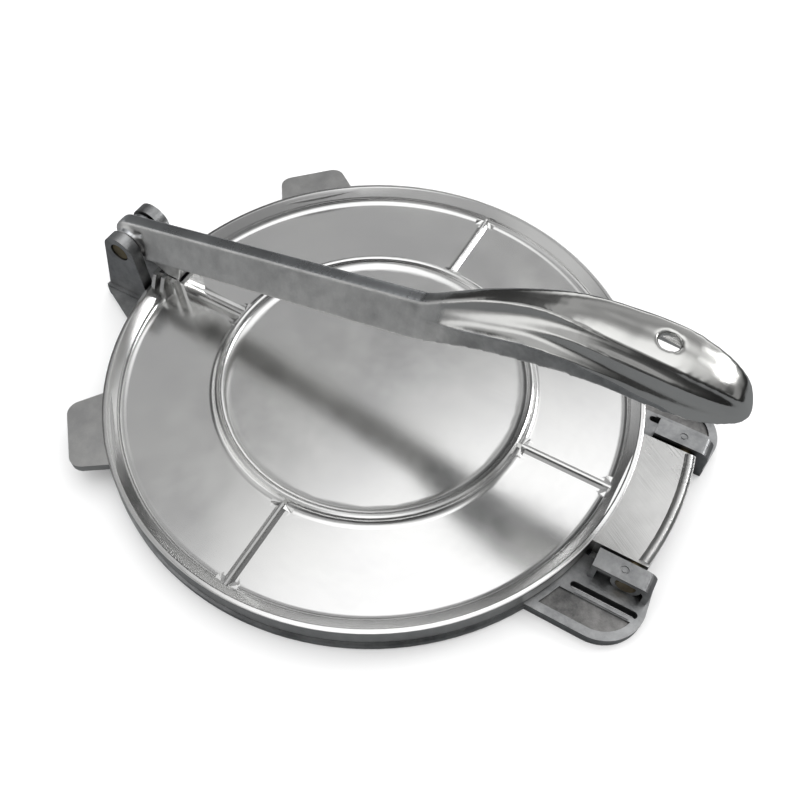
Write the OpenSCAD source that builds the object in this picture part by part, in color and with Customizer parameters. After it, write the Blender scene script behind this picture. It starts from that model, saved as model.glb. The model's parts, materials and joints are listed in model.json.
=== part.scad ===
// Cast tortilla press: a round base, a hinged top plate and a lever with a hollow handle.
// Origin at the plate's centre on the table; +Z up, +Y towards the plate hinge, -Y towards the lever pivot.

/* [Plates] */
// Radius of the top plate
plate_r = 100; // [90:1:125]
// How far the base disc stands out past the top plate
base_lip = 0.8; // [0:0.1:2]
// Thickness of the base disc
base_t = 4.4; // [4:0.1:7]
// Gap left between the two pressing faces
press_gap = 0.4; // [0.3:0.1:1]
// Thickness of the top plate's floor
plate_t = 2.7; // [2.2:0.1:4.5]
// Height of the rim above the top plate's floor
rim_h = 5.5; // [4:0.1:9]
// Width of the flat on top of the rim
rim_w = 2; // [1.2:0.1:3]
// Width of the rim's inner slope with its foot fillet
rim_slope_w = 6; // [4:0.1:9]
// Radius of the round stiffening bead on the top plate
bead_r = 59; // [50:0.5:70]
// Height of the round bead
bead_h = 3; // [1.5:0.1:4]
// Width of the bead's foot on its inner side
bead_foot_in = 5.2; // [3:0.1:7]
// Width of the bead's foot on its outer side
bead_foot_out = 3.8; // [3:0.1:7]
// Width of each straight rib at its foot
rib_w = 3.8; // [2.5:0.1:6]
// Height of each straight rib
rib_h = 1.9; // [1:0.1:3]
// Depth of the hollow under the base
base_hollow = 1.7; // [1:0.1:2.2]
// Width of the ring the base stands on
foot_ring_w = 4; // [3:0.1:8]

/* [Finger tabs] */
// Angle of each finger tab from the front
tab_angle = 44.5; // [38:0.5:60]
// How far a tab stands out past the rim
tab_out = 12.5; // [8:0.5:16]
// Width of a tab at its root
tab_w = 32; // [24:0.5:36]
// Thickness of a tab
tab_t = 3.2; // [2.4:0.1:5]
// How far the tab's top lies below the rim's top
tab_drop = 1; // [0.5:0.1:3]

/* [Plate hinge] */
// Distance of the hinge axis behind the plate's edge
hinge_out = 12.4; // [11:0.1:15]
// Height of the hinge axis above the table
hinge_z = 8.4; // [8.2:0.1:10]
// Radius of the hinge rod
rod_r = 3.5; // [2.5:0.1:4]
// Radius of the tongue's barrel round the hinge rod
barrel_r = 7.8; // [6.5:0.1:7.9]
// Half the width of the plate's tongue
tongue_hw = 23.5; // [18:0.5:26]
// Side gap between the tongue and a lug
lug_gap = 1.6; // [0.6:0.1:2.5]
// Thickness of a lug's inner wall, which carries the rod
lug_wall = 4; // [3:0.1:5]
// Depth of the pocket in a lug's outer side
lug_pocket = 2.9; // [2:0.1:4]
// Height of a lug above the table
lug_top = 13.6; // [13:0.1:16]
// Distance of a lug's rear face behind the hinge axis
lug_back = 8.2; // [7.5:0.1:9]

/* [Rear lobes] */
// Half width over the two rear lobes
lobe_hw = 51; // [46:0.5:56]
// Distance of the lobes' rear edge behind the plate's edge
lobe_out = 22; // [20:0.5:24]
// Radius of a lobe's rear outer corner
lobe_corner = 15; // [10:0.5:16]
// Width of the raised border round a lobe
lobe_border = 3; // [2:0.1:4]
// Depth of the panel inside the border
lobe_panel = 0.9; // [0.4:0.1:1.5]
// Width of the slot beside each lug
slot_w = 2.4; // [1.5:0.1:3.5]
// Distance from a lug's outer side to the slot's middle line
slot_off = 5; // [4:0.1:7]

/* [Lever bearing] */
// Distance of the pivot axis in front of the plate's edge
pivot_out = 7.8; // [7.6:0.1:10]
// Height of the pivot axis above the table
pivot_z = 28.8; // [28:0.1:34]
// Radius of the pivot pin
pin_r = 3.9; // [2.5:0.1:4.2]
// How far each end of the pivot pin lies inside its ear
pin_recess = 0.5; // [0.2:0.1:1]
// Radius of an ear round the pin
ear_r = 6.9; // [6:0.1:7]
// Thickness of an ear
ear_t = 4.7; // [3.5:0.1:6]
// Half the width of the slot between the ears
ear_slot_hw = 6.3; // [5.5:0.1:8]
// Length of an ear's foot along the base, from its rear face
ear_foot = 20.6; // [18:0.1:21]
// Height of the front platform that carries the ears
platform_t = 3.8; // [3.2:0.1:4.2]
// Reach of the front platform past the plate's edge
platform_out = 22; // [21:0.5:24]
// Half the width of the front platform at its front edge
platform_front_hw = 13.5; // [12.5:0.1:18]
// Half the width of the front platform where it leaves the disc
platform_root_hw = 25; // [20:0.5:30]
// Height of the curb along each ear's foot
curb_h = 1; // [0.4:0.1:1.6]
// Width of the curb along each ear's foot
curb_w = 1.6; // [1:0.1:2]

/* [Lever] */
// Slope of the lever's arm when the plates are shut
arm_slope = 12.4; // [8:0.1:16]
// Radius of the lever's eye, which the arm's top edge is tangent to
hub_r = 8.4; // [8:0.1:9.5]
// Radius of the boss on each side of the eye
boss_r = 6.2; // [5.6:0.1:6.6]
// Half the width of the arm's flat top
arm_top_hw = 2.4; // [2:0.1:3.2]
// Half the width of the arm at its lower edges
arm_foot_hw = 8; // [7.5:0.1:9]
// Depth of the arm
arm_depth = 12.8; // [12:0.1:15]
// Wall thickness of the arm and the handle
lever_wall = 2.4; // [1.8:0.1:3]
// Distance from the pivot to where the handle starts, past the plate's radius
handle_start = 27.5; // [20:0.5:40]
// Distance from the handle's start to its rounded end
handle_len = 84; // [78:0.5:95]
// Length of the handle's rounded end
tail_len = 16.5; // [14:0.5:20]
// Radius of the hanging hole
hang_r = 3.9; // [3:0.1:4.2]
// Distance of the hanging hole from the handle's tip
hang_from_tip = 27; // [24:0.5:32]
// Length of the press foot along the arm
foot_l = 6; // [4:0.5:8]
// Distance from the pivot to the press foot
foot_from_pivot = 15; // [14:0.5:17]

/* [Press pad] */
// Height of the pad's cross fins above the rim
pad_h = 4.8; // [3:0.1:5]
// Distance of the first fin behind the rim's front edge
fin_set = 1.6; // [1.2:0.1:2.4]
// Thickness of each fin
fin_t = 1.7; // [1.2:0.1:2.2]
// Distance between two fins
fin_pitch = 4.2; // [3.6:0.1:4.6]
// Half the width of the first fin at its foot
fin_foot_hw = 9.6; // [8:0.1:11]
// Half the width of the first fin at its top
fin_top_hw = 6.5; // [5.5:0.1:8]

/* [Clearances] */
// Radial clearance of a pin in the casting that turns on it
turn_clear = 0.07; // [0.03:0.01:0.09]
// Radial clearance of a pin in the base
seat_clear = 0.02; // [0.01:0.01:0.04]
// Gap between faces that pass or meet each other
face_clear = 0.3; // [0.2:0.05:0.5]

/* [Hidden] */
$fn = 96;
EPS = 0.01;

cast_colour = [0.62, 0.63, 0.63];
polished_colour = [0.76, 0.76, 0.75];
bronze_colour = [0.42, 0.37, 0.27];

base_r = plate_r + base_lip;
under_z = base_t + press_gap;
floor_z = under_z + plate_t;
rim_z = floor_z + rim_h;
pad_z = rim_z + pad_h;
hinge_y = plate_r + hinge_out;
pivot_y = -(plate_r + pivot_out);
lug_in = tongue_hw + lug_gap;
lug_mid = lug_in + lug_wall;
lug_out = lug_mid + lug_pocket;
lug_front_y = plate_r + face_clear;
lug_back_y = hinge_y + lug_back;
slot_x = lug_out + slot_off;
lobe_root_y = 0.83 * plate_r;
tongue_edge_r = plate_r + hinge_out + sqrt(pow(barrel_r, 2) - pow(rim_z - hinge_z, 2));
ear_back_y = pivot_y + ear_r;
ear_front_y = ear_back_y - ear_foot;
ear_out = ear_slot_hw + ear_t;
hub_hw = ear_slot_hw - face_clear;
handle_y = pivot_y + plate_r + handle_start;
tip_y = handle_y + handle_len + tail_len;
foot_y = pivot_y + foot_from_pivot;
foot_z = pad_z + face_clear;
first_fin_y = -(plate_r - fin_set - fin_t / 2);
fins = ceil((foot_y + foot_l + fin_t - first_fin_y) / fin_pitch) + 1;

// Height of the arm's top edge at y: a line tangent to the eye.
function arm_top(y) = pivot_z + (y - pivot_y) * tan(arm_slope) + hub_r / cos(arm_slope);

// Points of an arc about [x, y] from angle a0 to a1.
function arc(x, y, r, a0, a1, n) = [for (i = [0 : n]) let (a = a0 + (a1 - a0) * i / n) [x + r * cos(a), y + r * sin(a)]];

// A concave quarter round from [r0, z0] up to [r1, z1], as points of an outline.
function cove(r0, z0, r1, z1, n = 8) =
    [for (i = [0 : n]) [r1 + (r0 - r1) * (1 - sin(90 * i / n)), z0 + (z1 - z0) * (1 - cos(90 * i / n))]];

// Cubic curve through the rows of a table, whose first column is the place along the curve.
function row_at(t, rows, i = 0) = i >= len(rows) - 2 || t < rows[i + 1][0] ? i : row_at(t, rows, i + 1);
function slope(rows, i, k) =
    let (a = max(i - 1, 0), b = min(i + 1, len(rows) - 1))
    (rows[b][k] - rows[a][k]) / (rows[b][0] - rows[a][0]);
function curve(t, rows, k) =
    let (i = row_at(t, rows), h = rows[i + 1][0] - rows[i][0], u = (t - rows[i][0]) / h)
    (2 * pow(u, 3) - 3 * pow(u, 2) + 1) * rows[i][k] + (pow(u, 3) - 2 * pow(u, 2) + u) * h * slope(rows, i, k)
    + (3 * pow(u, 2) - 2 * pow(u, 3)) * rows[i + 1][k] + (pow(u, 3) - pow(u, 2)) * h * slope(rows, i + 1, k);

// Rows of the lever: [distance from the handle's start, top half width, top z, crease half width, crease z,
// shoulder half width, shoulder z, foot half width, foot z], all heights from the arm's top there.
function arm_row(t) =
    let (z = t * tan(arm_slope), w = arm_foot_hw - arm_top_hw)
    [t, arm_top_hw, z, arm_top_hw + 0.24 * w, z - 0.24 * arm_depth,
     arm_top_hw + 0.47 * w, z - 0.47 * arm_depth, arm_foot_hw, z - arm_depth];
handle_rows = [
    arm_row(-40), arm_row(-20), arm_row(-8), arm_row(0),
    [0.12 * handle_len, 2.6, 6.4, 5.0, 2.4, 7.4, -0.4, 9.0, -7.6],
    [0.26 * handle_len, 3.0, 13.9, 6.2, 8.2, 9.4, 5.5, 10.1, -1.5],
    [0.44 * handle_len, 4.0, 21.0, 7.5, 15.4, 10.9, 11.9, 11.6, 4.8],
    [0.61 * handle_len, 6.0, 24.7, 9.0, 20.5, 11.9, 14.9, 12.6, 9.4],
    [0.77 * handle_len, 7.0, 26.5, 10.2, 22.5, 12.2, 16.4, 13.0, 11.4],
    [0.93 * handle_len, 7.6, 26.9, 10.4, 22.4, 12.0, 16.2, 12.9, 11.5],
    [handle_len, 7.6, 26.6, 10.3, 22.0, 11.8, 15.8, 12.8, 11.1]];

// How much the flanks of the handle are hollowed between their soft edges.
flute = 0.55;
// Rise of the handle's top across its width.
crown = 0.5;

// Points between a and b, bowed sideways by d.
function bow(a, b, d, n) =
    let (v = b - a, s = norm(v) + EPS)
    [for (i = [0 : n - 1]) a + v * i / n + d * sin(180 * i / n) * [v[1], -v[0]] / s];

// Right half of the lever's section at t, inset by w, from its foot up to the middle.
function half_section(t, w) =
    let (
        u = min(t, handle_len),
        a = max(0, (t - handle_len) / (tail_len - w)),
        f = sqrt(max(0, 1 - a * a)),
        g = pow(f, 1.5),
        h = min(1, max(0, t / (0.3 * handle_len))),
        foot_z0 = curve(u, handle_rows, 8),
        rise = function (k) foot_z0 + (curve(u, handle_rows, k) - foot_z0) * g,
        foot = [(curve(u, handle_rows, 7) - w) * f, foot_z0 - (w > 0 ? 1 : 0)],
        shoulder = [(curve(u, handle_rows, 5) - w) * f, rise(6) - 0.4 * w],
        crease = [(curve(u, handle_rows, 3) - 0.9 * w) * f, rise(4) - 0.8 * w],
        top = [max(0.6, curve(u, handle_rows, 1) - 0.6 * w) * f, rise(2) - 1.15 * w],
        middle = [0, rise(2) + crown * max(h, 0.2) * g - 1.15 * w])
    concat(
        bow(foot, shoulder, 0, 3),
        bow(shoulder, crease, -flute * h * g, 4),
        bow(crease, top, -flute * h * g, 4),
        bow(top, middle, 0.25 * h * g, 4),
        [middle]);

function section(t, w) =
    let (r = half_section(t, w), n = len(r))
    concat(r, [for (i = [n - 2 : -1 : 0]) [-r[i][0], r[i][1]]]);

// Places along the lever: close together where it curves.
arm_start = -(handle_y - pivot_y - 4);
function stations(w) = concat(
    [arm_start, -20, -8],
    [for (i = [0 : 27]) handle_len * i / 28],
    [for (a = [0 : 9 : 81]) handle_len + (tail_len - w) * sin(a)],
    [handle_len + (tail_len - w) * sin(87)]);

// Bands of faces from side to side that close one end of the form.
function end_faces(first, n, flip) =
    [for (i = [0 : (n - 3) / 2]) let (
        a = first + i, b = first + i + 1, c = first + n - 2 - i, d = first + n - 1 - i,
        f = b == c ? [a, b, d] : [a, b, c, d])
        flip ? [for (k = [len(f) - 1 : -1 : 0]) f[k]] : f];

// A solid skinned over the lever's sections.
module lever_form(w) {
    ts = stations(w);
    rings = [for (t = ts) [for (p = section(t, w)) [p[0], handle_y + t, arm_top(handle_y) + p[1]]]];
    n = len(rings[0]);
    m = len(rings);
    polyhedron(
        points = [for (r = rings) each r],
        faces = concat(
            end_faces(0, n, true),
            end_faces((m - 1) * n, n, false),
            [for (j = [0 : m - 2]) for (i = [0 : n - 1])
                [j * n + i, (j + 1) * n + (i + 1) % n, (j + 1) * n + i]],
            [for (j = [0 : m - 2]) for (i = [0 : n - 1])
                [j * n + i, j * n + (i + 1) % n, (j + 1) * n + (i + 1) % n]]),
        convexity = 6);
}

// A cylinder along X with its middle at [0, y, z].
module along_x(r, half_l, y, z) {
    translate([-half_l, y, z]) rotate([0, 90, 0]) cylinder(r = r, h = 2 * half_l);
}

// A slab of a [y, z] outline, centred on x = 0 or from x0 to x1.
module side_slab(x0, x1) {
    translate([x0, 0, 0]) rotate([90, 0, 90]) linear_extrude(x1 - x0) children();
}

module both_sides() {
    children();
    mirror([1, 0, 0]) children();
}

// ---- base ----

// Rear lobe beside a lug: straight outer side, round corner, nearly straight rear edge.
module lobe_outline(inset = 0) {
    x1 = lobe_hw - inset;
    y1 = plate_r + lobe_out - inset;
    r = max(1, lobe_corner - inset);
    polygon(concat(
        [[lug_in, lobe_root_y], [x1, lobe_root_y]],
        arc(x1 - r, y1 - r, r, 0, 90, 14),
        [[lug_in, y1 - 1]]));
}

// Front platform: narrow at the front edge, wide where it leaves the disc.
module platform_outline(inset = 0) {
    y0 = -(plate_r + platform_out) + inset;
    hw = platform_front_hw - inset;
    root_hw = platform_root_hw - inset;
    overlap = 1;
    root_y = overlap - sqrt(pow(base_r, 2) - pow(platform_root_hw, 2));
    r = 2;
    polygon(concat(
        [[-root_hw, root_y]], arc(r - hw, y0 + r, r, 180, 270, 6),
        arc(hw - r, y0 + r, r, 270, 360, 6), [[root_hw, root_y]]));
}

// Ear seen from the side: round top, upright rear face, front edge tangent to the top.
module ear_outline() {
    foot = [ear_front_y, platform_t];
    v = [pivot_y, pivot_z] - foot;
    lean = atan2(v[1], v[0]) + asin(ear_r / norm(v));
    polygon(concat(
        [[ear_back_y, 0.4 * platform_t]], arc(pivot_y, pivot_z, ear_r, 0, lean + 90, 28),
        [foot, [ear_front_y, 0.4 * platform_t]]));
}

// Lug seen from the side, with a round top rear corner.
module lug_outline(inset = 0, z0 = 0) {
    r = 3.5;
    y0 = lug_front_y + inset;
    y1 = lug_back_y - inset;
    z1 = lug_top - inset;
    polygon(concat([[y1, z0]], arc(y1 - r, z1 - r, r, 0, 90, 8), [[y0, z1], [y0, z0]]));
}

module base_disc() {
    edge = 0.8;
    rotate_extrude($fn = 180) polygon([
        [0, base_hollow], [base_r - foot_ring_w - 1, base_hollow], [base_r - foot_ring_w, 0],
        [base_r - edge, 0], [base_r, edge], [base_r, base_t - edge], [base_r - edge, base_t], [0, base_t]]);
}

// Ribs and rings in the hollow under the base.
module base_ribs() {
    rib = 2.6;
    for (a = [0 : 60 : 300]) rotate(a + 30) translate([22, -rib / 2, 0.3]) cube([base_r - 24, rib, base_hollow]);
    for (r = [24, 62]) difference() {
        translate([0, 0, 0.3]) cylinder(r = r, h = base_hollow, $fn = 120);
        translate([0, 0, 0]) cylinder(r = r - rib, h = base_t / 2 + EPS, $fn = 120);
    }
}

module lobe() {
    slot_y0 = base_r - 3;
    slot_y1 = lug_back_y - 2;
    difference() {
        linear_extrude(base_t) lobe_outline();
        // sunk panel inside the border
        difference() {
            translate([0, 0, base_t - lobe_panel]) linear_extrude(base_t) intersection() {
                lobe_outline(lobe_border);
                translate([slot_x + slot_w / 2 + 1.6, 0]) square([lobe_hw, 2 * plate_r]);
            }
            cylinder(r = base_r + 1.2, h = 3 * base_t, $fn = 180);
        }
        // slot beside the lug
        translate([0, 0, -1]) linear_extrude(3 * base_t) polygon(concat(
            arc(slot_x, slot_y0, slot_w / 2, 180, 360, 10), arc(slot_x, slot_y1, slot_w / 2, 0, 180, 10)));
        // hollow underneath
        translate([0, 0, -1]) linear_extrude(1 + base_hollow) intersection() {
            lobe_outline(foot_ring_w);
            translate([slot_x + slot_w / 2 + 2.5, base_r + 2]) square([lobe_hw, plate_r]);
        }
    }
    // lip along the slot's outer side
    translate([slot_x + slot_w / 2 + 0.1, base_r - 2, base_t - 0.5]) cube([1.2, slot_y1 - base_r + 1, 1.1]);
}

module lug() {
    difference() {
        side_slab(lug_in, lug_out) lug_outline();
        // pocket in the outer side, round the rod's end
        side_slab(lug_mid, lug_out + 1) lug_outline(2, base_t);
        // gate mark on top
        translate([(lug_in + lug_out) / 2, hinge_y - 2.4, lug_top - 0.3]) difference() {
            cylinder(r = 1.5, h = 1, $fn = 32);
            cylinder(r = 0.8, h = 1, $fn = 24);
        }
        along_x(rod_r + seat_clear, lug_out + 5, hinge_y, hinge_z);
    }
    // boss round the rod's end, inside the pocket
    difference() {
        side_slab(lug_mid - 0.5, lug_out - 0.9) translate([hinge_y, hinge_z]) circle(rod_r + 1.6);
        along_x(rod_r + seat_clear, lug_out + 5, hinge_y, hinge_z);
    }
}

module ear() {
    difference() {
        side_slab(ear_slot_hw, ear_out) ear_outline();
        along_x(pin_r + seat_clear, ear_out + 5, pivot_y, pivot_z);
    }
    // curb along the ear's foot
    translate([ear_out - EPS, ear_front_y, platform_t - EPS]) cube([curb_w, ear_foot - 0.2, curb_h]);
}

module front_platform() {
    difference() {
        linear_extrude(platform_t) platform_outline();
        translate([0, 0, -1]) linear_extrude(1 + base_hollow) difference() {
            platform_outline(foot_ring_w);
            circle(base_r + 1, $fn = 180);
        }
    }
}

module base() {
    color(cast_colour) {
        base_disc();
        base_ribs();
        front_platform();
        both_sides() {
            lobe();
            ear();
            lug();
        }
    }
}

// ---- top plate ----

module plate_dish() {
    edge = 0.7;
    r1 = plate_r - rim_w;
    r0 = r1 - rim_slope_w;
    rotate_extrude($fn = 180) polygon(concat(
        [[0, under_z], [plate_r - edge, under_z], [plate_r, under_z + edge],
         [plate_r, rim_z - edge], [plate_r - 0.3 * edge, rim_z - 0.25 * edge], [plate_r - edge, rim_z],
         [r1 + 0.4, rim_z], [r1, rim_z - 0.25]],
        [for (i = [8 : -1 : 0]) let (c = cove(r0, floor_z, r0 + 0.55 * rim_slope_w, floor_z + 0.5 * rim_h)) c[i]],
        [[0, floor_z]]));
}

module plate_bead() {
    tip = 0.7;
    rotate_extrude($fn = 180) polygon(concat(
        [[bead_r + bead_foot_out, floor_z - EPS]],
        [for (p = cove(bead_r + bead_foot_out, floor_z, bead_r + tip, floor_z + bead_h - 0.3)) p],
        [[bead_r, floor_z + bead_h]],
        [for (i = [8 : -1 : 0]) cove(bead_r - bead_foot_in, floor_z, bead_r - tip, floor_z + bead_h - 0.3)[i]],
        [[bead_r - bead_foot_in, floor_z - EPS]]));
}

// One straight rib from the bead to the rim, with flared ends.
module plate_rib(w) {
    r0 = bead_r + 0.6 * bead_foot_out;
    r1 = plate_r - rim_w - 0.5 * rim_slope_w;
    translate([0, 0, floor_z - EPS]) {
        rotate([90, 0, 90]) translate([0, 0, r0]) linear_extrude(r1 - r0) polygon([
            [-w / 2, 0], [-w / 4, 0.35 * rib_h], [-w / 6, 0.85 * rib_h], [0, rib_h],
            [w / 6, 0.85 * rib_h], [w / 4, 0.35 * rib_h], [w / 2, 0]]);
        linear_extrude(0.4 * rib_h) for (e = [[r0, 1], [r1, -1]])
            translate([e[0], 0]) scale_x(e[1]) polygon(concat(
                [for (p = cove(0, w / 2 + 2.4, 5, w / 2, 6)) [p[0], p[1]]],
                [for (i = [6 : -1 : 0]) let (p = cove(0, w / 2 + 2.4, 5, w / 2, 6)[i]) [p[0], -p[1]]]));
    }
}

module scale_x(s) {
    if (s > 0) children();
    else mirror([1, 0, 0]) children();
}

// Finger tab: a flat ear with two round corners and a straight outer edge.
module finger_tab() {
    corner = 5;
    x1 = plate_r + tab_out - corner - 0.4;
    y1 = tab_w / 2 - corner - 2;
    rotate(tab_angle - 90) translate([0, 0, rim_z - tab_drop - tab_t]) linear_extrude(tab_t) polygon(concat(
        [[plate_r - 4, -tab_w / 2]], arc(x1, -y1, corner, -78, 0, 8), arc(x1, y1, corner, 0, 78, 8),
        [[plate_r - 4, tab_w / 2]]));
}

// Flat tongue that wraps the hinge rod, with a raised round edge.
module tongue() {
    top_z = rim_z - 0.3;
    front_y = plate_r - 3;
    intersection() {
        union() {
            translate([-tongue_hw, front_y, under_z + 0.4])
                cube([2 * tongue_hw, hinge_y - front_y, top_z - under_z - 0.4]);
            intersection() {
                along_x(barrel_r, tongue_hw, hinge_y, hinge_z);
                translate([-tongue_hw, front_y, 0]) cube([2 * tongue_hw, 4 * barrel_r, top_z]);
            }
        }
        cylinder(r = tongue_edge_r, h = 60, $fn = 180);
    }
    intersection() {
        rotate_extrude($fn = 180) translate([tongue_edge_r - 2, top_z - 0.7]) circle(1.9, $fn = 32);
        translate([-tongue_hw + 0.8, front_y, 0]) cube([2 * tongue_hw - 1.6, 60, 60]);
    }
}

// Cross fins on the rim and behind it, which the lever's foot presses on. They narrow towards the rib.
module press_pad() {
    z0 = floor_z - EPS;
    for (i = [0 : fins - 1]) {
        y = first_fin_y + i * fin_pitch;
        foot_hw = fin_foot_hw - (i < 2 ? 0 : 1.5 * i);
        top_hw = min(fin_top_hw, foot_hw);
        translate([0, y + fin_t / 2, 0]) rotate([90, 0, 0]) linear_extrude(fin_t) polygon([
            [-foot_hw, z0], [foot_hw, z0], [foot_hw, rim_z - 0.5],
            [top_hw, pad_z], [-top_hw, pad_z], [-foot_hw, rim_z - 0.5]]);
    }
    for (x = [-3, 3])
        translate([x - fin_t / 2, first_fin_y, z0]) cube([fin_t, (fins - 1) * fin_pitch, pad_z - z0 - 1.2]);
}

module top_plate() {
    color(polished_colour) difference() {
        union() {
            plate_dish();
            plate_bead();
            for (a = [0, 90, 180]) rotate(a) plate_rib(rib_w);
            rotate(-90) plate_rib(1.9 * rib_w);
            both_sides() finger_tab();
            tongue();
            press_pad();
        }
        // bore for the rod
        along_x(rod_r + turn_clear, tongue_hw + 5, hinge_y, hinge_z);
    }
}

// ---- lever ----

// Eye round the pivot pin: a crowned hood between two plain bosses.
module lever_eye() {
    hood = arm_top_hw + 1.3;
    translate([0, pivot_y, pivot_z]) rotate([0, 90, 0]) rotate_extrude() polygon([
        [0, -hub_hw], [boss_r, -hub_hw], [boss_r, -hood - 0.4], [hub_r - 2, -hood], [hub_r, -arm_top_hw],
        [hub_r, arm_top_hw], [hub_r - 2, hood], [boss_r, hood + 0.4], [boss_r, hub_hw], [0, hub_hw]]);
}

// Roof of the arm from the eye to where the side walls start.
module eye_roof() {
    hood = arm_top_hw + 1.3;
    translate([0, pivot_y, pivot_z]) rotate([arm_slope, 0, 0]) rotate([-90, 0, 0]) linear_extrude(16) polygon([
        [-arm_top_hw, -hub_r], [arm_top_hw, -hub_r], [hood, -hub_r + 3], [-hood, -hub_r + 3]]);
}

// Web from the eye down to the flat that presses on the plate's pad.
module press_foot() {
    hw = 4.4;
    side_slab(-hw, hw) polygon([
        [pivot_y, pivot_z - 0.8 * boss_r], [foot_y - 5, foot_z + 3.4], [foot_y, foot_z],
        [foot_y + foot_l, foot_z], [foot_y + foot_l + 3, foot_z + 8],
        [foot_y + foot_l + 3, arm_top(foot_y) - 6], [pivot_y, pivot_z + 0.8 * boss_r]]);
}

module lever() {
    color(polished_colour) difference() {
        union() {
            difference() {
                lever_form(0);
                lever_form(lever_wall);
                // the side walls start behind the ears, on a slant
                side_slab(-20, 20) polygon([
                    [pivot_y - 20, pivot_z - 30], [pivot_y + 12.4, pivot_z - 30], [pivot_y + 9.4, pivot_z],
                    [pivot_y + 6.2, pivot_z + 9.4], [pivot_y + 5.4, pivot_z + 30], [pivot_y - 20, pivot_z + 30]]);
            }
            lever_eye();
            eye_roof();
            press_foot();
        }
        along_x(pin_r + turn_clear, 20, pivot_y, pivot_z);
        translate([0, tip_y - hang_from_tip, arm_top(handle_y)]) cylinder(r = hang_r, h = 60, $fn = 48);
    }
}

// ---- pins ----

// A plain pin along X with bevelled ends.
module plain_pin(r, half_l) {
    bevel = 0.5;
    rotate([0, 90, 0]) rotate_extrude() polygon([
        [0, -half_l], [r - bevel, -half_l], [r, bevel - half_l], [r, half_l - bevel], [r - bevel, half_l], [0, half_l]]);
}

module lever_pivot_pin() {
    color(bronze_colour) translate([0, pivot_y, pivot_z]) plain_pin(pin_r, ear_out - pin_recess);
}

module plate_hinge_pin() {
    color(bronze_colour) translate([0, hinge_y, hinge_z]) plain_pin(rod_r, lug_out - 0.5);
}

base();
top_plate();
lever();
lever_pivot_pin();
plate_hinge_pin();
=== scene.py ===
"""Tortilla press: finishes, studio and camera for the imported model.

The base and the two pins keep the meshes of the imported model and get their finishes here.
The top plate and the lever are copies of the model's castings: the plate's rib ends are let
down into its dish, and the lever's edges are broken and its handle's end is drawn out round.
Round the press stand a pale floor, two soft lamps, a white surround and the camera.
"""

import json
import logging
import math
from dataclasses import dataclass
from enum import Enum
from typing import Any, Sequence

import bmesh
import bpy
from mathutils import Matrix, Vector

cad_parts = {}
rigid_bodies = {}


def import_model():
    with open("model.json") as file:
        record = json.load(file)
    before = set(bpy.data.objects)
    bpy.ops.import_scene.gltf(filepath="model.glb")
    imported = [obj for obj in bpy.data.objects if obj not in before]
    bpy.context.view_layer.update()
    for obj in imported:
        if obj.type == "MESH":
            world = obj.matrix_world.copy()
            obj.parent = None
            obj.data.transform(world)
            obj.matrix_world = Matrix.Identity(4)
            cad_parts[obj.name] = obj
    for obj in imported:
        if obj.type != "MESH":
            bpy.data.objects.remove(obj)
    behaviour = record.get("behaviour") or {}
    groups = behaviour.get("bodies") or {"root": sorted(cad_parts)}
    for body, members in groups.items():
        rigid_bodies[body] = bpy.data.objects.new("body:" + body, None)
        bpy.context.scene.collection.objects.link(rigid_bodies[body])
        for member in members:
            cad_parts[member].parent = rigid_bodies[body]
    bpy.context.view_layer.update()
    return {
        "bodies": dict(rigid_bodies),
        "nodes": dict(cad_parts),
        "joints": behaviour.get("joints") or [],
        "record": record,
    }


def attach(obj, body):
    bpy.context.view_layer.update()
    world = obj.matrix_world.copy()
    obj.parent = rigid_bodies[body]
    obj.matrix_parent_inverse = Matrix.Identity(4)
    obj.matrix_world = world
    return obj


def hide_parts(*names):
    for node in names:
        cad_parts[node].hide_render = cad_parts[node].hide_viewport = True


LOG = logging.getLogger("tortilla_press")

Triple = tuple[float, float, float]
Span = tuple[float, float]
Socket = bpy.types.NodeSocket

MERGE_DISTANCE = 1e-6  # points of a casting that lie closer than this are one point, in metres
WHITE = (1.0, 1.0, 1.0, 1.0)


class Body(Enum):
    """Moving bodies of the press, by their names in the model."""

    PLATE = "plate"
    LEVER = "lever"


class Node(Enum):
    """Castings and pins of the press, by their names in the model."""

    BASE = "base"
    TOP_PLATE = "top_plate"
    LEVER = "lever"
    PIVOT_PIN = "lever_pivot_pin"
    HINGE_PIN = "plate_hinge_pin"


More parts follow.
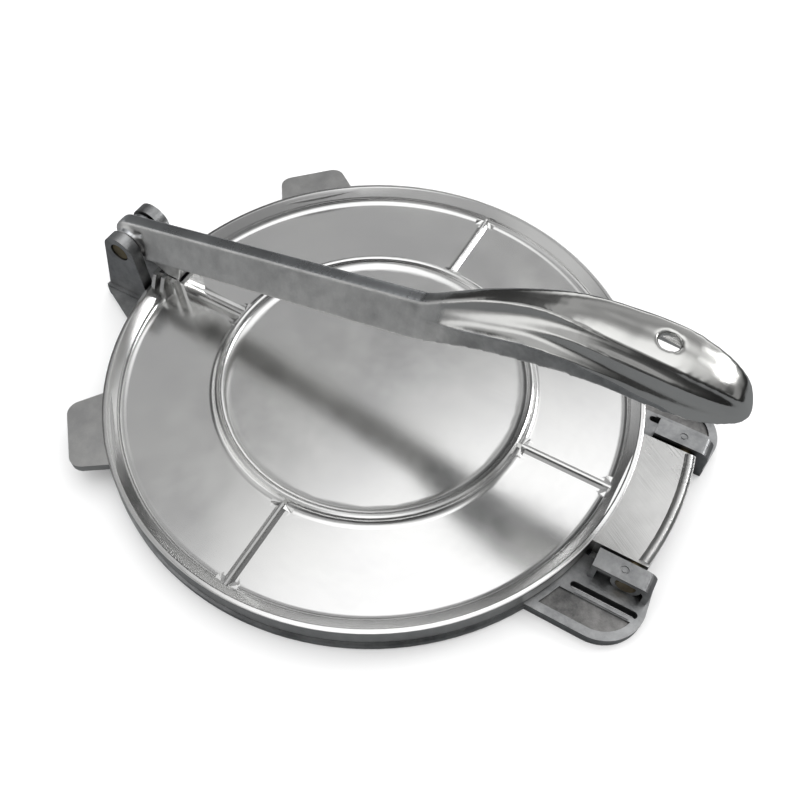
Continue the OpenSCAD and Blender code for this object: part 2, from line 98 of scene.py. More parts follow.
class Graph:
    """A short way to write a shader's node tree."""

    def __init__(self, tree: bpy.types.NodeTree) -> None:
        """Start on an emptied tree.

        Args:
            tree: The node tree to build in.
        """
        tree.nodes.clear()
        self.tree = tree

    def add(self, kind: str, **settings: Any) -> bpy.types.Node:
        """Add a node.

        Args:
            kind: The node's type without its ShaderNode prefix.
            **settings: Attributes of the node, or values of sockets by their name with
                spaces written as underscores.

        Returns:
            The new node.
        """
        node = self.tree.nodes.new(f"ShaderNode{kind}")
        for key, value in settings.items():
            if hasattr(node, key):
                setattr(node, key, value)
            else:
                node.inputs[key.replace("_", " ")].default_value = value
        return node

    def link(self, source: Socket, target: Socket) -> None:
        """Join an output to an input."""
        self.tree.links.new(source, target)

    def math(self, kind: str, *values: Any, clamp: bool = False) -> Socket:
        """Add a Math node.

        Args:
            kind: Its operation.
            *values: Sockets or numbers for its inputs, in order.
            clamp: True to hold the result between 0 and 1.

        Returns:
            The node's output.
        """
        node = self.add("Math", operation=kind, use_clamp=clamp)
        for socket, value in zip(node.inputs, values):
            if isinstance(value, (int, float)):
                socket.default_value = value
            else:
                self.link(value, socket)
        return node.outputs[0]

    def product(self, first: Socket, *others: Any) -> Socket:
        """Multiply a value by others, in order.

        Args:
            first: The value to start from.
            *others: Sockets or numbers to multiply it by.

        Returns:
            The product.
        """
        for other in others:
            first = self.math("MULTIPLY", first, other)
        return first

    def axes(self, coords: Socket) -> list[Socket]:
        """Split coordinates into X, Y and Z.

        Args:
            coords: The coordinates.

        Returns:
            The three outputs.
        """
        node = self.add("SeparateXYZ")
        self.link(coords, node.inputs[0])
        return list(node.outputs)

    def along(self, coords: Socket, way: Triple) -> Socket:
        """Measure how far coordinates reach along a direction.

        Args:
            coords: The coordinates.
            way: The direction, of any length.

        Returns:
            The distance, which runs from -1 to 1 if the coordinates are a direction.
        """
        node = self.add("VectorMath", operation="DOT_PRODUCT")
        self.link(coords, node.inputs[0])
        node.inputs[1].default_value = Vector(way).normalized()
        return node.outputs["Value"]

    def ramp(self, factor: Socket, stops: Sequence[tuple[float, Sequence[float]]]) -> Socket:
        """Add a Color Ramp.

        Args:
            factor: The socket that drives it.
            stops: Pairs of place and grey or RGB value.

        Returns:
            The node's colour output.
        """
        node = self.add("ValToRGB")
        elements = node.color_ramp.elements
        while len(elements) < len(stops):
            elements.new(1.0)
        for element, (place, value) in zip(elements, stops):
            element.position = place
            element.color = (*value, 1.0) if len(value) == 3 else (value[0],) * 3 + (1.0,)
        self.link(factor, node.inputs[0])
        return node.outputs[0]

    def band(self, value: Socket, start: float, end: float) -> Socket:
        """Rise smoothly from 0 to 1 as a value goes from start to end.

        Args:
            value: The value.
            start: Where the rise starts.
            end: Where it ends, which may lie below the start.

        Returns:
            The node's output.
        """
        node = self.add("MapRange", interpolation_type="SMOOTHSTEP")
        self.link(value, node.inputs["Value"])
        node.inputs["From Min"].default_value = start
        node.inputs["From Max"].default_value = end
        return node.outputs["Result"]

    def blend(self, factor: Socket, first: Socket, second: Socket) -> Socket:
        """Mix two shaders.

        Args:
            factor: Share of the second shader.
            first: The first shader.
            second: The second shader.

        Returns:
            The mixed shader.
        """
        node = self.add("MixShader")
        self.link(factor, node.inputs[0])
        self.link(first, node.inputs[1])
        self.link(second, node.inputs[2])
        return node.outputs[0]

    def bump(self, height: Socket, depth: float, under: Socket | None = None) -> Socket:
        """Press a relief into the normal.

        Args:
            height: Height of the relief, from 0 to 1.
            depth: Its full depth, in metres.
            under: The normal that it starts from, or None for the surface's own.

        Returns:
            The new normal.
        """
        node = self.add("Bump", Strength=1.0, Distance=depth)
        self.link(height, node.inputs["Height"])
        if under is not None:
            self.link(under, node.inputs["Normal"])
        return node.outputs[0]

    def mapping(
        self, coords: Socket, scale: Triple = (1.0, 1.0, 1.0), turn: Triple = (0.0, 0.0, 0.0)
    ) -> Socket:
        """Stretch and turn coordinates.

        Args:
            coords: The coordinates.
            scale: Scale along each axis.
            turn: Turn about each axis, in degrees.

        Returns:
            The mapped coordinates.
        """
        node = self.add("Mapping")
        node.inputs["Scale"].default_value = scale
        node.inputs["Rotation"].default_value = tuple(math.radians(angle) for angle in turn)
        self.link(coords, node.inputs["Vector"])
        return node.outputs[0]


@dataclass(frozen=True)
class Pattern:
    """A cloudy pattern, and the part of its values over which a finish changes.

    Attributes:
        scale: Fineness of its clouds.
        detail: Number of finer layers in them.
        roughness: Strength of the finer layers.
        low: Value up to which the first look holds.
        high: Value from which the second look holds.
    """

    scale: float
    detail: float
    roughness: float = 0.5
    low: float = 0.0
    high: float = 1.0

    def values(self, g: Graph, coords: Socket) -> Socket:
        """Lay the pattern over some coordinates.

        Args:
            g: The material's nodes.
            coords: The coordinates.

        Returns:
            The pattern's values, from 0 to 1.
        """
        node = g.add("TexNoise", Scale=self.scale, Detail=self.detail, Roughness=self.roughness)
        g.link(coords, node.inputs["Vector"])
        return node.outputs[0]

    def between(
        self, g: Graph, coords: Socket, first: Sequence[float], second: Sequence[float]
    ) -> Socket:
        """Go from one value to another with the pattern.

        Args:
            g: The material's nodes.
            coords: Object coordinates.
            first: Grey or RGB value where the pattern is low.
            second: Grey or RGB value where it is high.

        Returns:
            The value.
        """
        return g.ramp(self.values(g, coords), [(self.low, first), (self.high, second)])


# Cast metal: mottled colour, patches of roughness and the sandy skin
MOTTLE = Pattern(scale=90.0, detail=8.0, roughness=0.7, low=0.36, high=0.62)
PATCHES = Pattern(scale=240.0, detail=4.0, low=0.3, high=0.7)
SAND = Pattern(scale=1400.0, detail=5.0, roughness=0.6)
# Polished metal: clouds of colour, haze, marks of the wheel and a slight unevenness
CLOUDS = Pattern(scale=22.0, detail=5.0, roughness=0.55, low=0.35, high=0.65)
HAZE = Pattern(scale=45.0, detail=6.0, roughness=0.65, low=0.3, high=0.72)
WHEEL_MARKS = Pattern(scale=1.0, detail=3.0, roughness=0.6)
SWELL = Pattern(scale=38.0, detail=1.0)
# Painted shade in the corners of cast metal: how far from a wall it reaches, in metres, how
# finely that is measured, and its tone from a closed corner to an open face
CREVICE_SHADE_REACH = 0.007
CREVICE_SHADE_SAMPLES = 8
CREVICE_SHADE_TONES = ((0.15, (0.12,)), (0.62, (1.0,)))


@dataclass(frozen=True)
class CastFinish:
    """Metal as it leaves the mould or the tumbler: matte, with a fine sandy skin and painted
    shade in its corners.

    Attributes:
        dark: Colour in the hollows of the mottle.
        light: Colour of the rest.
        rough: Lowest and highest roughness.
        grain: Depth of the sandy skin, in metres.
    """

    dark: Triple
    light: Triple
    rough: Span
    grain: float

    def shader(self, g: Graph, coords: Socket) -> Socket:
        """Add the finish to a material.

        Args:
            g: The material's nodes.
            coords: Object coordinates.

        Returns:
            The finish's shader.
        """
        shader = g.add("BsdfPrincipled", Metallic=1.0)
        low, high = self.rough
        # Painted shade: the mottled colour is darkened where nearby walls close the surface in.
        corners = g.add("AmbientOcclusion", samples=CREVICE_SHADE_SAMPLES, Distance=CREVICE_SHADE_REACH)
        corner_shaded = g.add("MixRGB", blend_type="MULTIPLY", Fac=1.0)
        g.link(MOTTLE.between(g, coords, self.dark, self.light), corner_shaded.inputs["Color1"])
        g.link(g.ramp(corners.outputs["AO"], CREVICE_SHADE_TONES), corner_shaded.inputs["Color2"])
        g.link(corner_shaded.outputs[0], shader.inputs["Base Color"])
        g.link(PATCHES.between(g, coords, (low,), (high,)), shader.inputs["Roughness"])
        g.link(g.bump(SAND.values(g, coords), self.grain), shader.inputs["Normal"])
        return shader.outputs[0]


@dataclass(frozen=True)
class PolishedFinish:
    """Buffed metal: a soft mirror with fine wheel marks and a slight unevenness.

    Attributes:
        dark: Colour of its cloudy patches.
        light: Colour of the rest.
        rough: Lowest and highest roughness.
        marks: Scale of the wheel marks along each axis.
        mark_depth: Depth of the marks, in metres.
        swell: Depth of the slight unevenness, in metres.
        turn: Turn of the wheel marks about Z, in degrees.
    """

    dark: Triple
    light: Triple
    rough: Span
    marks: Triple
    mark_depth: float
    swell: float
    turn: float = 0.0

    def shader(self, g: Graph, coords: Socket) -> Socket:
        """Add the finish to a material.

        Args:
            g: The material's nodes.
            coords: Object coordinates.

        Returns:
            The finish's shader.
        """
        shader = g.add("BsdfPrincipled", Metallic=1.0)
        low, high = self.rough
        g.link(CLOUDS.between(g, coords, self.dark, self.light), shader.inputs["Base Color"])
        g.link(HAZE.between(g, coords, (low,), (high,)), shader.inputs["Roughness"])
        turned = g.mapping(coords, turn=(0.0, 0.0, self.turn))
        marks = WHEEL_MARKS.values(g, g.mapping(turned, self.marks))
        marked = g.bump(marks, self.mark_depth)
        g.link(g.bump(SWELL.values(g, coords), self.swell, marked), shader.inputs["Normal"])
        return shader.outputs[0]


CAST = CastFinish(
    dark=(0.26, 0.265, 0.27), light=(0.44, 0.445, 0.45), rough=(0.30, 0.46), grain=0.00007
)
CAST_DARK = CastFinish(
    dark=(0.11, 0.11, 0.11), light=(0.30, 0.295, 0.29), rough=(0.32, 0.46), grain=0.00009
)
SIDE_CAST = CastFinish(
    dark=(0.56, 0.56, 0.555), light=(0.72, 0.72, 0.71), rough=(0.34, 0.48), grain=0.00004
)
TUMBLED = CastFinish(
    dark=(0.50, 0.50, 0.50), light=(0.62, 0.62, 0.61), rough=(0.30, 0.42), grain=0.00004
)
BRONZE = CastFinish(
    dark=(0.13, 0.10, 0.06), light=(0.24, 0.20, 0.12), rough=(0.34, 0.5), grain=0.00004
)
BUFFED = PolishedFinish(
    dark=(0.80, 0.80, 0.80), light=(0.90, 0.90, 0.89), rough=(0.15, 0.24),
    marks=(900.0, 60.0, 900.0), mark_depth=0.000004, swell=0.00004,
)
BRUSHED = PolishedFinish(
    dark=(0.52, 0.52, 0.515), light=(0.74, 0.74, 0.73), rough=(0.24, 0.36),
    marks=(1500.0, 30.0, 1500.0), mark_depth=0.00011, swell=0.00004, turn=32.0,
)
MIRROR = PolishedFinish(
    dark=(0.60, 0.60, 0.59), light=(0.74, 0.74, 0.72), rough=(0.11, 0.2),
    marks=(900.0, 50.0, 900.0), mark_depth=0.000004, swell=0.00006,
)
SATIN = PolishedFinish(
    dark=(0.62, 0.64, 0.66), light=(0.76, 0.78, 0.80), rough=(0.24, 0.34),
    marks=(900.0, 50.0, 900.0), mark_depth=0.00001, swell=0.00003,
)


class Skin:
    """A new material and its nodes."""

    def __init__(self, name: str) -> None:
        """Start the material.

        Args:
            name: Its name.
        """
        self.material = bpy.data.materials.new(name)
        self.material.use_nodes = True
        self.g = Graph(self.material.node_tree)

    def coords(self) -> Socket:
        """Read the object's own coordinates."""
        return self.g.add("TexCoord").outputs["Object"]

    def upward(self) -> Socket:
        """Measure how far up each face looks, from -1 to 1."""
        return self.g.axes(self.g.add("TexCoord").outputs["Normal"])[2]

    def done(self, shader: Socket) -> bpy.types.Material:
        """Send a shader to the output and return the material."""
        self.g.link(shader, self.g.add("OutputMaterial").inputs["Surface"])
        return self.material


def dress(frame: dict[str, Any], node: Node, material: bpy.types.Material) -> None:
    """Give a casting or pin of the model its finish.

    Args:
        frame: The loaded model.
        node: The casting or pin.
        material: Its finish.
    """
    for slot in frame["nodes"][node.value].material_slots:
        slot.material = material
    LOG.info("%s: %s", node.value, material.name)


def merged_copy(source: bpy.types.Object) -> bmesh.types.BMesh:
    """Copy a casting's mesh and join its loose triangles.

    Args:
        source: The casting.

    Returns:
        The copy, which the caller frees.
    """
    bm = bmesh.new()
    bm.from_mesh(source.data)
    bmesh.ops.remove_doubles(bm, verts=bm.verts, dist=MERGE_DISTANCE)
    return bm


def new_piece(
    name: str, mesh: bpy.types.Mesh, material: bpy.types.Material
) -> bpy.types.Object:
    """Make a mesh a piece of the scene.

    Args:
        name: The piece's name.
        mesh: Its mesh, which is already in its place.
        material: Its finish.

    Returns:
        The piece.
    """
    mesh.materials.clear()
    mesh.materials.append(material)
    piece = bpy.data.objects.new(name, mesh)
    bpy.context.collection.objects.link(piece)
    return piece


@dataclass
class CastBase:
    """The base's casting, with a darker sunk panel in each of its two lobes.

    Each size is a span over which the panel's finish comes in.

    Attributes:
        side_x: Distances from the middle at a panel's inner edge.
        start_y: Distances at its near end.
        floor_z: Heights just above its floor, the upper one first.
        level: How far up its faces look.
    """

    side_x: Span = (0.0395, 0.0400)
    start_y: Span = (0.0850, 0.0854)
    floor_z: Span = (0.0041, 0.0038)
    level: Span = (0.6, 0.8)

    def material(self) -> bpy.types.Material:
        """Make its material: cast metal, darker on the floor of the panels.

        Returns:
            The material.
        """
        skin = Skin("cast_base")
        g, coords = skin.g, skin.coords()
        x, y, z = g.axes(coords)
        side = g.band(g.math("ABSOLUTE", x), *self.side_x)
        sunk = g.band(z, *self.floor_z)
        ahead = g.band(y, *self.start_y)
        panel = g.product(side, sunk, ahead, g.band(skin.upward(), *self.level))
        return skin.done(g.blend(panel, CAST.shader(g, coords), CAST_DARK.shader(g, coords)))

    def build(self, frame: dict[str, Any]) -> None:
        """Dress the base of the loaded model.

        Args:
            frame: The loaded model.
        """
        dress(frame, Node.BASE, self.material())


@dataclass
class BlendedPlate:
    """The top plate's casting, with the ends of its ribs let down into the dish.

    Attributes:
        wall_r: Radii between which the buffed dish gives way to the tumbled wall.
        clear_r: Radii between which the tongue's brushing comes in, clear of the wall.
        tongue_y: Distances over which it comes in along the tongue.
        floor_z: Height of the dish.
        flare_h: Height of the flares at the ribs' ends.
        flare_slack: How far from that height a point still counts as on a flare.
        inner_r: Where the dish starts outside the round bead.
        outer_r: Where it ends at the rim's slope.
        rib_hw: Half the width of a rib's foot.
        front_rib_hw: Half the width of the front rib's foot.
        edge_slack: How far inside an edge a point is put, or still taken as on it.
        crease: Angle above which an edge stays sharp, in degrees.
    """

    wall_r: Span = (0.0996, 0.1002)
    clear_r: Span = (0.1008, 0.1012)
    tongue_y: Span = (0.0925, 0.0945)
    floor_z: float = 0.0075
    flare_h: float = 0.00076
    flare_slack: float = 0.00008
    inner_r: float = 0.06285
    outer_r: float = 0.0921
    rib_hw: float = 0.0019
    front_rib_hw: float = 0.0036
    edge_slack: float = 0.0001
    crease: float = 28.0

    def material(self) -> bpy.types.Material:
        """Make its material: buffed dish, tumbled tabs and rim wall, brushed tongue.

        Returns:
            The material.
        """
        skin = Skin("polished_plate")
        g, coords = skin.g, skin.coords()
        x, y, _ = g.axes(coords)
        radius = g.math("SQRT", g.math("ADD", g.product(x, x), g.product(y, y)))
        tongue = g.product(g.band(y, *self.tongue_y), g.band(radius, *self.clear_r))
        wall = g.band(radius, *self.wall_r)
        rim = g.blend(wall, BUFFED.shader(g, coords), TUMBLED.shader(g, coords))
        return skin.done(g.blend(tongue, rim, BRUSHED.shader(g, coords)))

    def _let_down(self, point: Vector) -> bool:
        """Move a point on top of a flare to its rib's side or to the dish.

        Args:
            point: The point, which is changed.

        Returns:
            True if it was on a flare.
        """
        radius = math.hypot(point.x, point.y)
        over_flare = point.z - self.floor_z - self.flare_h
        if not self.inner_r < radius < self.outer_r or abs(over_flare) > self.flare_slack:
            return False
        along, across = (0, 1) if abs(point.x) > abs(point.y) else (1, 0)
        side = abs(point[across])
        front = along == 1 and point.y < 0.0
        if radius < (self.inner_r + self.outer_r) / 2.0:
            place = self.inner_r
        else:
            place = math.sqrt(self.outer_r**2 - side**2) - self.edge_slack
        point[along] = math.copysign(place, point[along])
        if side > (self.front_rib_hw if front else self.rib_hw) - self.edge_slack:
            point.z = self.floor_z
        return True

    def build(self, frame: dict[str, Any]) -> bpy.types.Object:
        """Make the piece from the model's casting.

        Args:
            frame: The loaded model.

        Returns:
            The new piece.
        """
        bm = merged_copy(frame["nodes"][Node.TOP_PLATE.value])
        moved = sum(self._let_down(vert.co) for vert in bm.verts)
        mesh = bpy.data.meshes.new("plate_casting")
        bm.to_mesh(mesh)
        bm.free()
        if "custom_normal" in mesh.attributes:
            mesh.attributes.remove(mesh.attributes["custom_normal"])
        mesh.shade_smooth()
        mesh.set_sharp_from_angle(angle=math.radians(self.crease))
        piece = new_piece("plate_casting", mesh, self.material())
        normals = piece.modifiers.new("normals", "WEIGHTED_NORMAL")
        normals.keep_sharp = True
        LOG.info("plate_casting: %d faces, %d points let down", len(mesh.polygons), moved)
        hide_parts(Node.TOP_PLATE.value)
        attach(piece, Body.PLATE.value)
        return piece


@dataclass
class SmoothLever:
    """The lever's casting, with its edges broken and its handle's end drawn out round.

    Lengths along the handle are measured from where it starts. The casting comes with an
    end of its own, which is undone before the new one is drawn.

    Attributes:
        mirror_y: Distances over which the handle's mirror polish comes in.
        lip_y: Distances over which the arm's matte side darkens to the handle's cast lip.
        lip_line: The line along the handle where the polish ends, as distance and height.
        lip_heights: Lowest and highest height that the line may reach.
        lip_edge: From below to above that line, where the polish comes in.
        strip_level: How far up the faces of the arm's satin top strip look.
        voxel: Size of the mesh's cells, in metres.
        passes: Rounds of smoothing.
        pull: Share of the way to its neighbours that a point goes in a round.
        handle_y: Where the handle starts.
        foot_z: Height above which the handle is lowered.
        ease_t: Length after which the lowering starts.
        height_ratio: Share of its height that the lowered handle keeps.
        full_t: Length after which the drawn-out end starts.
        end_len: Length of the drawn-out end.
        end_limit: Share of that length after which it narrows no further.
        end_drop: Drop of its tip.
        width_round: Roundness of the end as seen from above.
        height_round: Roundness of the end as seen from the side.
        height_power: How late the end's height falls off.
        form_full_t: Length after which the casting's own end starts.
        form_end_len: Length of the casting's own end.
        form_limit: Share of that length after which it is undone no further.
        form_power: How much faster its height falls off than its width.
        hole_y: Where the hanging hole is.
        hole_was: Radius of the casting's hole.
        hole_near: Ratio to that radius within which a point is on the hole's edge.
        hole_r: Radius of the finished hole.
    """

    mirror_y: Span = (0.0197, 0.0317)
    lip_y: Span = (0.0097, 0.0497)
    lip_line: tuple[Span, ...] = (
        (0.0197, 0.0594), (0.0298, 0.0650), (0.0415, 0.0709), (0.0567, 0.0773),
        (0.0709, 0.0800), (0.0844, 0.0800), (0.0978, 0.0782), (0.1100, 0.0735),
        (0.1202, 0.0640),
    )
    lip_heights: Span = (0.05, 0.09)
    lip_edge: Span = (-0.0002, 0.0006)
    strip_level: Span = (0.75, 0.93)
    voxel: float = 0.00055
    passes: int = 4
    pull: float = 0.5
    handle_y: float = 0.0197
    foot_z: float = 0.0767
    ease_t: float = 0.04
    height_ratio: float = 0.87
    full_t: float = 0.066
    end_len: float = 0.0345
    end_limit: float = 0.9976
    end_drop: float = 0.0013
    width_round: float = 2.5
    height_round: float = 2.9
    height_power: float = 0.45
    form_full_t: float = 0.084
    form_end_len: float = 0.0165
    form_limit: float = 0.995
    form_power: float = 1.5
    hole_y: float = 0.0932
    hole_was: float = 0.0039
    hole_near: float = 1.03
    hole_r: float = 0.0031

    def material(self) -> bpy.types.Material:
        """Make its material: mirror handle with a cast lip, matte arm with a satin top strip.

        Returns:
            The material.
        """
        skin = Skin("polished_lever")
        g, coords = skin.g, skin.coords()
        _, y, z = g.axes(coords)
        start, length = self.lip_line[0][0], self.lip_line[-1][0] - self.lip_line[0][0]
        low, rise = self.lip_heights[0], self.lip_heights[1] - self.lip_heights[0]
        line = g.ramp(
            g.math("DIVIDE", g.math("SUBTRACT", y, start), length, clamp=True),
            [((py - start) / length, ((pz - low) / rise,)) for py, pz in self.lip_line],
        )
        over_line = g.math("SUBTRACT", z, g.math("MULTIPLY_ADD", line, rise, low))
        handle = g.product(g.band(over_line, *self.lip_edge), g.band(y, *self.mirror_y))
        strip = g.band(skin.upward(), *self.strip_level)
        arm = g.blend(strip, SIDE_CAST.shader(g, coords), SATIN.shader(g, coords))
        lip = g.blend(g.band(y, *self.lip_y), arm, CAST.shader(g, coords))
        return skin.done(g.blend(handle, lip, MIRROR.shader(g, coords)))

    def _end(self, t: float) -> Triple:
        """Give the handle's change of form at a length along it.

        Args:
            t: The length.

        Returns:
            The change of its width and of its height, and its drop.
        """
        form = min(self.form_limit, max(0.0, (t - self.form_full_t) / self.form_end_len))
        end = min(self.end_limit, max(0.0, (t - self.full_t) / self.end_len))
        was = math.sqrt(1.0 - form * form)
        width = math.sqrt(1.0 - end**self.width_round) / was
        ease = min(1.0, max(0.0, (t - self.ease_t) / (self.full_t - self.ease_t)))
        ease = ease * ease * (3.0 - 2.0 * ease)
        kept = 1.0 + (self.height_ratio - 1.0) * ease
        rounding = (1.0 - end**self.height_round) ** self.height_power
        height = kept * rounding / was**self.form_power
        return width, min(height, 1.0), self.end_drop * end

    def _reshape(self, point: Vector) -> None:
        """Move a point of the casting to the drawn-out handle and the smaller hole.

        Args:
            point: The point, which is changed.
        """
        hole = Vector((point.x, point.y - self.hole_y))
        if hole.length < self.hole_near * self.hole_was:
            hole = hole.normalized() * self.hole_r
            point.x, point.y = hole.x, hole.y + self.hole_y
        t = point.y - self.handle_y
        if t > self.ease_t:
            width, height, drop = self._end(t)
            point.x *= width
            if point.z > self.foot_z:
                point.z = self.foot_z + (point.z - self.foot_z) * height
            point.z -= drop

    def _cells(self, mesh: bpy.types.Mesh) -> bpy.types.Mesh:
        """Make a mesh anew in small even cells.

        Args:
            mesh: The mesh.

        Returns:
            The new mesh.
        """
        rough = bpy.data.objects.new("lever_rough", mesh)
        bpy.context.collection.objects.link(rough)
        remesh = rough.modifiers.new("cells", "REMESH")
        remesh.mode = "VOXEL"
        remesh.voxel_size = self.voxel
        depsgraph = bpy.context.evaluated_depsgraph_get()
        cells = bpy.data.meshes.new_from_object(rough.evaluated_get(depsgraph))
        bpy.data.objects.remove(rough)
        return cells

    def _break_edges(self, mesh: bpy.types.Mesh) -> None:
        """Smooth a mesh of cells, which breaks its edges.

        Args:
            mesh: The mesh, which is changed.
        """
        bm = bmesh.new()
        bm.from_mesh(mesh)
        for _ in range(self.passes):
            bmesh.ops.smooth_vert(
                bm, verts=bm.verts, factor=self.pull,
                use_axis_x=True, use_axis_y=True, use_axis_z=True,
            )
        for face in bm.faces:
            face.smooth = True
        bm.to_mesh(mesh)
        bm.free()

    def build(self, frame: dict[str, Any]) -> bpy.types.Object:
        """Make the piece from the model's casting.

        Args:
            frame: The loaded model.

        Returns:
            The new piece.
        """
        bm = merged_copy(frame["nodes"][Node.LEVER.value])
        for vert in bm.verts:
            self._reshape(vert.co)
        mesh = bpy.data.meshes.new("lever_casting")
        bm.to_mesh(mesh)
        bm.free()
        cells = self._cells(mesh)
        self._break_edges(cells)
        piece = new_piece("lever_casting", cells, self.material())
        LOG.info("lever_casting: %d faces", len(cells.polygons))
        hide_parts(Node.LEVER.value)
        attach(piece, Body.LEVER.value)
        return piece


@dataclass
class BronzePins:
    """The lever's pivot pin and the plate's hinge rod.

    Attributes:
        finish: The finish of both.
    """

    finish: CastFinish = BRONZE

    def build(self, frame: dict[str, Any]) -> None:
        """Dress the pins of the loaded model.

        Args:
            frame: The loaded model.
        """
        skin = Skin("bronze_pin")
        material = skin.done(self.finish.shader(skin.g, skin.coords()))
        dress(frame, Node.PIVOT_PIN, material)
        dress(frame, Node.HINGE_PIN, material)


def stand(thing: bpy.types.Object, place: Triple, aim: Triple) -> None:
    """Put a lamp or the camera in the scene, facing a point.

    Args:
        thing: The lamp or camera.
        place: Where it stands.
        aim: The point it faces.
    """
    bpy.context.collection.objects.link(thing)
    thing.location = place
    thing.rotation_mode = "QUATERNION"
    thing.rotation_quaternion = (Vector(aim) - Vector(place)).to_track_quat("-Z", "Y")


@dataclass(frozen=True)
class Lamp:
    """A square soft lamp.

    Attributes:
        name: Its name.
        place: Where it stands.
        aim: The point it faces.
        size: Its side, in metres.
        power: Its power, in watts.
        mirrored: True if polished metal shows it.
    """

    name: str
    place: Triple
    aim: Triple
    size: float
    power: float
    mirrored: bool

    def build(self) -> None:
        """Make the lamp."""
        data = bpy.data.lights.new(self.name, "AREA")
        data.size = self.size
        data.energy = self.power
        lamp = bpy.data.objects.new(self.name, data)
        lamp.visible_glossy = self.mirrored
        stand(lamp, self.place, self.aim)


@dataclass(frozen=True)
class Glow:
    """A bright patch of the surround that only polished metal shows.

    Attributes:
        way: The direction that it lies in.
        near: How nearly a direction has to be that one, as a cosine: where the patch starts
            to come in, and where it is full.
        strength: Its brightness.
        rise: Heights over which it comes in from below, or None if it has no lower end.
        fall: Heights over which it goes out at the top, the upper one first, or None.
    """

    way: Triple
    near: Span
    strength: float
    rise: Span | None = None
    fall: Span | None = None

    def light(self, g: Graph, direction: Socket, height: Socket) -> Socket:
        """Add the patch to the surround.

        Args:
            g: The surround's nodes.
            direction: The direction looked at.
            height: The upward part of that direction.

        Returns:
            The patch's light.
        """
        factors = [g.band(height, *span) for span in (self.rise, self.fall) if span]
        factors.append(g.band(g.along(direction, self.way), *self.near))
        return g.product(*factors, self.strength)


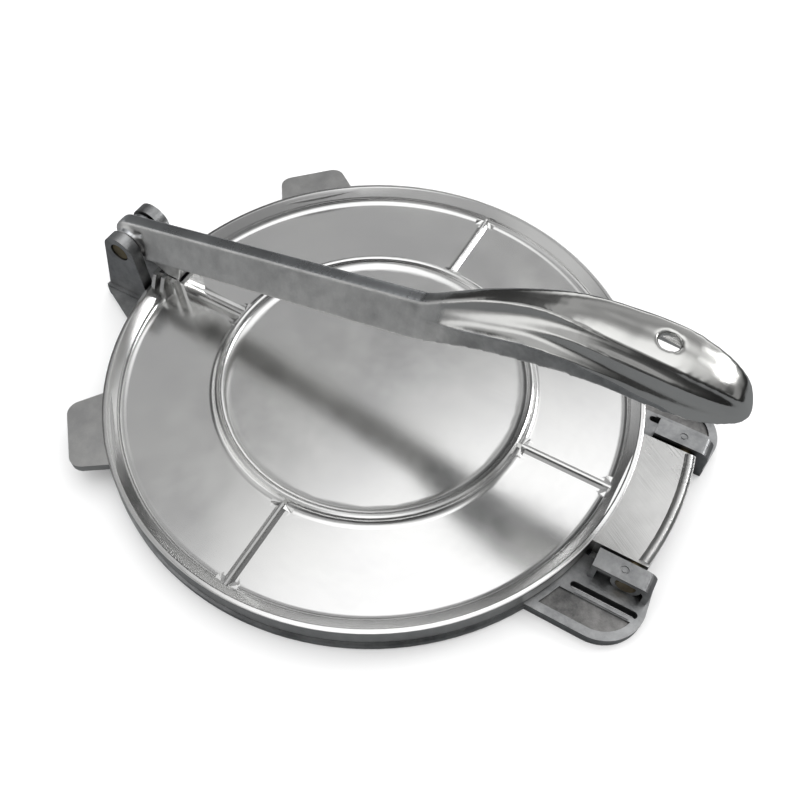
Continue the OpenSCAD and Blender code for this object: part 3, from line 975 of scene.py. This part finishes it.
@dataclass
class Studio:
    """Pale floor, soft lamps and a plain white surround.

    Attributes:
        floor_size: Side of the square floor, in metres.
        floor_colour: Colour of the floor.
        mirrored_colour: Its darker colour in polished metal, as if it ended near the press.
        floor_rough: Roughness of the floor.
        floor_gloss: Strength of the floor's own gloss.
        lamps: The lamps.
        fill: Strength of the even light that the surround casts.
        sky_way: Direction of the brightest part that polished metal shows.
        sky: Its brightness there, from the opposite side of the surround at 0 to 1.
        glows: The bright patches on it.
        dim_y: The part of the surround, towards the hinge, over which it dims.
        dim: How much it dims there.
    """

    floor_size: float = 8.0
    floor_colour: Triple = (0.93, 0.93, 0.93)
    mirrored_colour: Triple = (0.16, 0.165, 0.17)
    floor_rough: float = 0.9
    floor_gloss: float = 0.1
    lamps: tuple[Lamp, ...] = (
        Lamp("overhead_softbox", (-0.25, -0.10, 1.25), (0.0, 0.0, 0.0), 1.5, 5.0, False),
        Lamp("side_strip", (-0.9, 0.75, 0.75), (0.0, 0.0, 0.03), 0.35, 3.0, True),
    )
    fill: float = 1.1
    sky_way: Triple = (-0.10, 0.25, 0.96)
    sky: tuple[tuple[float, tuple[float]], ...] = (
        (0.0, (0.2,)), (0.45, (0.03,)), (0.62, (0.05,)), (0.755, (0.10,)), (0.795, (0.46,)),
        (0.83, (0.42,)), (0.875, (0.27,)), (0.9, (0.66,)), (0.925, (1.25,)), (1.0, (1.35,)),
    )
    glows: tuple[Glow, ...] = (
        Glow((-0.8, 0.6, 0.0), (0.1, 0.5), 1.1, rise=(0.2, 0.26), fall=(0.5, 0.4)),
        Glow((0.45, -0.9, 0.0), (0.496904, 0.844737), 0.6, rise=(0.08, 0.16), fall=(0.4, 0.28)),
        Glow((0.6, -0.7, 0.42), (0.84, 0.97), 0.5),
    )
    dim_y: Span = (0.1, 0.6)
    dim: float = 0.8

    def build(self) -> None:
        """Make the floor, the lamps and the surround."""
        self._floor()
        for lamp in self.lamps:
            lamp.build()
        self._surround()

    def _floor(self) -> None:
        """Make the floor."""
        bpy.ops.mesh.primitive_plane_add(size=self.floor_size)
        floor = bpy.context.object
        floor.name = "floor"
        skin = Skin("floor")
        g = skin.g
        shader = g.add(
            "BsdfPrincipled", Roughness=self.floor_rough, Specular_IOR_Level=self.floor_gloss
        )
        tone = g.ramp(
            g.add("LightPath").outputs["Is Glossy Ray"],
            [(0.0, self.floor_colour), (1.0, self.mirrored_colour)],
        )
        g.link(tone, shader.inputs["Base Color"])
        floor.data.materials.append(skin.done(shader.outputs[0]))

    def _surround(self) -> None:
        """Make the surround: white to the camera, light and dark by turns in polished metal."""
        world = bpy.data.worlds.new("surround")
        bpy.context.scene.world = world
        world.use_nodes = True
        g = Graph(world.node_tree)
        rays = g.add("LightPath")
        direction = g.add("TexCoord").outputs["Generated"]
        _, toward_hinge, height = g.axes(direction)
        overhead = g.math("MULTIPLY_ADD", g.along(direction, self.sky_way), 0.5, 0.5)
        shade = g.ramp(overhead, self.sky)
        for glow in self.glows:
            shade = g.math("ADD", shade, glow.light(g, direction, height))
        dimmed = g.product(g.band(toward_hinge, *self.dim_y), self.dim)
        shade = g.product(shade, g.math("SUBTRACT", 1.0, dimmed))
        mirrored = g.add("Background", Strength=1.0)
        g.link(shade, mirrored.inputs["Color"])
        plain = g.add("Background", Strength=1.0, Color=WHITE).outputs[0]
        fill = g.add("Background", Strength=self.fill, Color=WHITE).outputs[0]
        cast = g.blend(rays.outputs["Is Glossy Ray"], fill, mirrored.outputs[0])
        seen = g.blend(rays.outputs["Is Camera Ray"], cast, plain)
        g.link(seen, g.add("OutputWorld").inputs["Surface"])


@dataclass
class Viewpoint:
    """The camera, close above the press on its handle's side.

    Attributes:
        place: Where the camera stands, in metres.
        aim: The point it faces.
        sensor: Width of its sensor, in millimetres.
        lens: Its focal length, in millimetres.
        near: How near it still sees, in metres.
    """

    place: Triple = (0.1510, 0.0972, 0.2631)
    aim: Triple = (0.0072, 0.0149, 0.0130)
    sensor: float = 36.0
    lens: float = 37.13
    near: float = 0.01

    def build(self) -> None:
        """Make the camera and use it."""
        data = bpy.data.cameras.new("camera")
        data.sensor_width = self.sensor
        data.lens = self.lens
        data.clip_start = self.near
        camera = bpy.data.objects.new("camera", data)
        stand(camera, self.place, self.aim)
        bpy.context.scene.camera = camera


def main() -> None:
    """Set the camera and the studio, and dress the press."""
    logging.basicConfig(level=logging.INFO, format="%(name)s: %(message)s")
    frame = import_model()
    bpy.context.scene.view_settings.view_transform = "Standard"
    Viewpoint().build()
    Studio().build()
    CastBase().build(frame)
    BlendedPlate().build(frame)
    SmoothLever().build(frame)
    BronzePins().build(frame)


if __name__ == "__main__":
    main()
